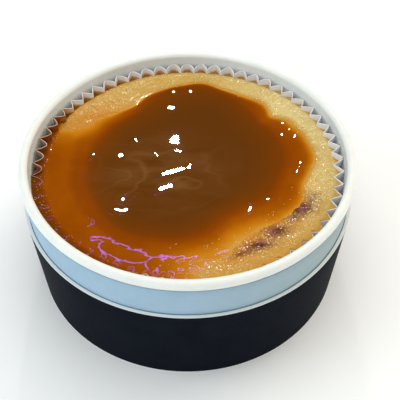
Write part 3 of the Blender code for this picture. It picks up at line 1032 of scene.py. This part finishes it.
def caramel_sauce():
    """Boiled sugar and cream: amber to dark brown with depth, with milky wisps and high gloss."""
    material, tree, shader = surface("caramel_sauce", (0.12, 0.035, 0.004), Roughness=0.012, IOR=1.47)
    drift = remap(tree, grain(tree, 14.0 * MM), 0.3, 0.7, -0.04, 0.04)
    seen = plus(tree, attribute(tree, "depth"), drift)
    body = colour_ramp(
        tree, seen, (0.0, (0.62, 0.31, 0.05)), (0.05, (0.60, 0.245, 0.018)), (0.12, (0.545, 0.175, 0.005)),
        (0.24, (0.365, 0.088, 0.001)), (0.36, (0.265, 0.053, 0.001)), (0.48, (0.190, 0.043, 0.002)),
        (0.60, (0.158, 0.040, 0.003)), (0.78, (0.125, 0.036, 0.004)), (1.0, (0.118, 0.036, 0.005)))
    wisps = grain(tree, 16.0 * MM, detail=6.0, roughness=0.6, stretch=(0.6, 1.6, 1.0))
    milky = times(tree, remap(tree, wisps, 0.38, 0.62), attribute(tree, "milk"))
    body = mixed(tree, milky, body, (0.20, 0.084, 0.023))
    stirred = grain(tree, 34.0 * MM, detail=3.0, roughness=0.45, stretch=(0.7, 1.3, 1.0))
    lap = calc(tree, "FRACT", times(tree, stirred, 9.0))
    thread = calc(tree, "ABSOLUTE", minus(tree, lap, 0.5))
    thread = times(tree, remap(tree, thread, 0.0, 0.16, 0.42, 0.0), attribute(tree, "milk"))
    body = mixed(tree, thread, body, (0.27, 0.125, 0.042))
    tree.links.new(body, shader.inputs["Base Color"])
    relief(tree, shader, (grain(tree, 2.5 * MM, detail=1.0), 0.004 * MM))
    return material


caramel = place(build_caramel(), caramel_sauce())
pool_x, pool_y, pool_z, pool_r, pool_angle = points_of(caramel.data)
thick = POOL_LEVEL - cake_height(pool_r, pool_angle)
store(caramel.data, "depth", np.clip(thick / MIDDLE_DEPTH, 0.0, 1.0))
milk_x = (pool_x / MM - MILK_PLACE[0]) / MILK_REACH[0]
milk_y = (pool_y / MM - MILK_PLACE[1]) / MILK_REACH[1]
store(caramel.data, "milk", 0.8 * np.exp(-milk_x ** 2 - milk_y ** 2))
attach(caramel, "root")
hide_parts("caramel")


# ------------------------------------------------------------
# Bubbles: fine froth that the caramel pushed up against the soaked liner as it ran out, left in its thin
# film towards the front, and a little of it along the free shore. Their pale colour is a painted sparkle.

BUBBLE_SIZES = {
    "Grains Each Square Metre": 1.7e6,
    "Least Radius": 0.07 * MM,
    "Largest Radius": 0.19 * MM,
    "Flatness": 0.9,
    "Seed": 5.0,
}

froth_patches = np.clip(0.3 + 2.0 * noise_at(pool_x, pool_y, 3.0 * MM, 31.0), 0.0, 1.0)
by_liner = spill(pool_angle) * smooth_step(49.5 * MM, 52.5 * MM, pool_r)
to_shore = pool_r - shore_radius(pool_angle)
by_shore = (1.0 - spill(pool_angle)) * np.exp(-(to_shore / (1.1 * MM)) ** 2)
in_film = hump(pool_angle, 300, 28) * smooth_step(36.0 * MM, 40.0 * MM, pool_r)
froth = np.clip(0.55 * by_liner + 0.5 * by_shore + 0.8 * in_film, 0.0, 1.0) * froth_patches
facing_up = smooth_step(POOL_LEVEL - 0.06 * MM, POOL_LEVEL - 0.02 * MM, pool_z)
store(caramel.data, "grainy", froth * facing_up)
froth_painted_sparkle = specks_with_painted_sparkle("caramel_froth_painted_sparkle", (0.66, 0.29, 0.05), (1.0, 0.84, 0.46), 0.2)
bubbles = place(grown("caramel_bubbles", grain_tree, BUBBLE_SIZES, caramel.data, froth_painted_sparkle))
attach(bubbles, "root")


# ------------------------------------------------------------
# Stage: a plain pale floor, a wide soft light overhead, pale fills behind and before, a cool and a
# warm light low at the sides, one small far lamp that makes the wet surfaces sparkle, and four thin
# loops of violet tube overhead that only show mirrored in the caramel.

FLOOR_HALF = 3.0
AIM = (0.0, 0.0, 0.04)


def add_floor():
    """A square of matte pale board under everything."""
    material = surface("floor", (0.98, 0.98, 0.98), Roughness=0.9, Specular_IOR_Level=0.0)[0]
    mesh = bpy.data.meshes.new("floor")
    half = FLOOR_HALF
    corners = [(-half, -half, 0), (half, -half, 0), (half, half, 0), (-half, half, 0)]
    mesh.from_pydata(corners, [], [(0, 1, 2, 3)])
    place(mesh, material)


def add_light(name, kind, where, power, colour, size):
    """A lamp of one power in watts and one size in metres that shines at the cake."""
    light = bpy.data.lights.new(name, kind)
    light.energy = power
    light.color = colour
    if kind == "AREA":
        light.shape = "DISK"
        light.size = size
    else:
        light.shadow_soft_size = size
    lamp = bpy.data.objects.new(name, light)
    bpy.context.scene.collection.objects.link(lamp)
    lamp.location = where
    lamp.rotation_euler = (Vector(AIM) - Vector(where)).to_track_quat("-Z", "Y").to_euler()
    return lamp


# Corners and width of the loops of tube, in millimetres, on a level one metre up.
TUBE_HEIGHT = 1.0
TUBE_WIDTH = 3.6
TUBE_LOOPS = (
    ((-198, 771), (-179, 778), (-158, 768), (-139, 751), (-113, 741), (-84, 729), (-73, 719), (-84, 708),
     (-106, 706), (-128, 711), (-149, 721), (-173, 736), (-178, 752), (-168, 757), (-177, 764), (-196, 764)),
    ((-84, 708), (-72, 719), (-48, 724), (-26, 719), (4, 719), (20, 724), (46, 710), (30, 690), (-4, 683),
     (-26, 686), (-50, 689), (-78, 693), (-84, 686)),
    ((48, 716), (62, 730), (88, 738), (116, 744), (140, 758), (152, 746), (132, 732), (104, 722), (76, 712)),
    ((44, 694), (62, 704), (92, 708), (120, 720), (128, 712), (104, 698), (78, 692), (58, 686)),
)


def add_tube(loop, number, material):
    """Flat glowing band along a closed loop."""
    points = np.array(loop, dtype=float)
    ahead = np.roll(points, -1, axis=0) - np.roll(points, 1, axis=0)
    ahead = ahead / np.linalg.norm(ahead, axis=1, keepdims=True)
    aside = np.stack([-ahead[:, 1], ahead[:, 0]], axis=1) * TUBE_WIDTH / 2
    corners = np.concatenate([points - aside, points + aside]) * MM
    count = len(points)
    faces = [(i, (i + 1) % count, (i + 1) % count + count, i + count) for i in range(count)]
    mesh = bpy.data.meshes.new("violet_tube_" + str(number))
    mesh.from_pydata([(x, y, TUBE_HEIGHT) for x, y in corners], [], faces)
    tube = place(mesh, material)
    tube.visible_camera = False
    tube.visible_diffuse = False
    tube.visible_shadow = False


add_floor()
violet = surface(
    "violet_glow", (0.0, 0.0, 0.0), Emission_Color=(0.36, 0.14, 1.0, 1.0), Emission_Strength=15.0)[0]
for number, loop in enumerate(TUBE_LOOPS):
    add_tube(loop, number, violet)
# Soft lights: name, place in metres, power in watts, colour, size in metres. None shows mirrored.
for name, where, power, colour, size in (
        ("overhead", (0.0, 0.0, 1.5), 9.6, (1.0, 0.98, 0.93), 1.6),
        ("behind", (0.1, 0.7, 1.2), 2.0, (1.0, 1.0, 0.95), 1.0),
        ("before", (0.0, -1.2, 0.6), 3.2, (0.98, 1.0, 0.97), 1.0),
        ("cool_side", (-1.2, -0.1, 0.55), 6.4, (0.76, 0.91, 1.0), 1.0),
        ("warm_side", (1.0, 0.7, 0.5), 8.0, (1.0, 0.89, 0.68), 1.0)):
    add_light(name, "AREA", where, power, colour, size).visible_glossy = False
add_light("sparkle", "POINT", (-0.055, 2.155, 2.0), 20.0, (1.0, 0.98, 0.94), 0.026)

world = bpy.data.worlds.new("sky")
bpy.context.scene.world = world
world.use_nodes = True
world.node_tree.nodes["Background"].inputs["Color"].default_value = (0.92, 0.97, 1.0, 1.0)
world.node_tree.nodes["Background"].inputs["Strength"].default_value = 0.36
world.cycles_visibility.glossy = False
bpy.context.scene.view_settings.view_transform = "Standard"


# ------------------------------------------------------------
# Camera: held over the tub by hand, a little tilted.

CAMERA_DISTANCE = 279.2 * MM
CAMERA_ELEVATION = math.radians(46.53)
AIM_HEIGHT = 30.0 * MM
SENSOR = 36.0
LENS = 66.42
PAN, TILT, ROLL = -0.0159, -0.0075, 0.0074

camera_data = bpy.data.cameras.new("camera")
camera_data.sensor_width = SENSOR
camera_data.lens = LENS
camera_data.clip_start = 0.01
camera = bpy.data.objects.new("camera", camera_data)
bpy.context.scene.collection.objects.link(camera)
camera.location = (0.0, -CAMERA_DISTANCE * math.cos(CAMERA_ELEVATION),
                   CAMERA_DISTANCE * math.sin(CAMERA_ELEVATION) + AIM_HEIGHT)
turned = Euler((math.pi / 2 - CAMERA_ELEVATION, 0, 0)).to_matrix()
turned = turned @ Euler((0, PAN, 0)).to_matrix() @ Euler((TILT, 0, 0)).to_matrix()
camera.rotation_euler = (turned @ Euler((0, 0, -ROLL)).to_matrix()).to_euler()
bpy.context.scene.camera = camera
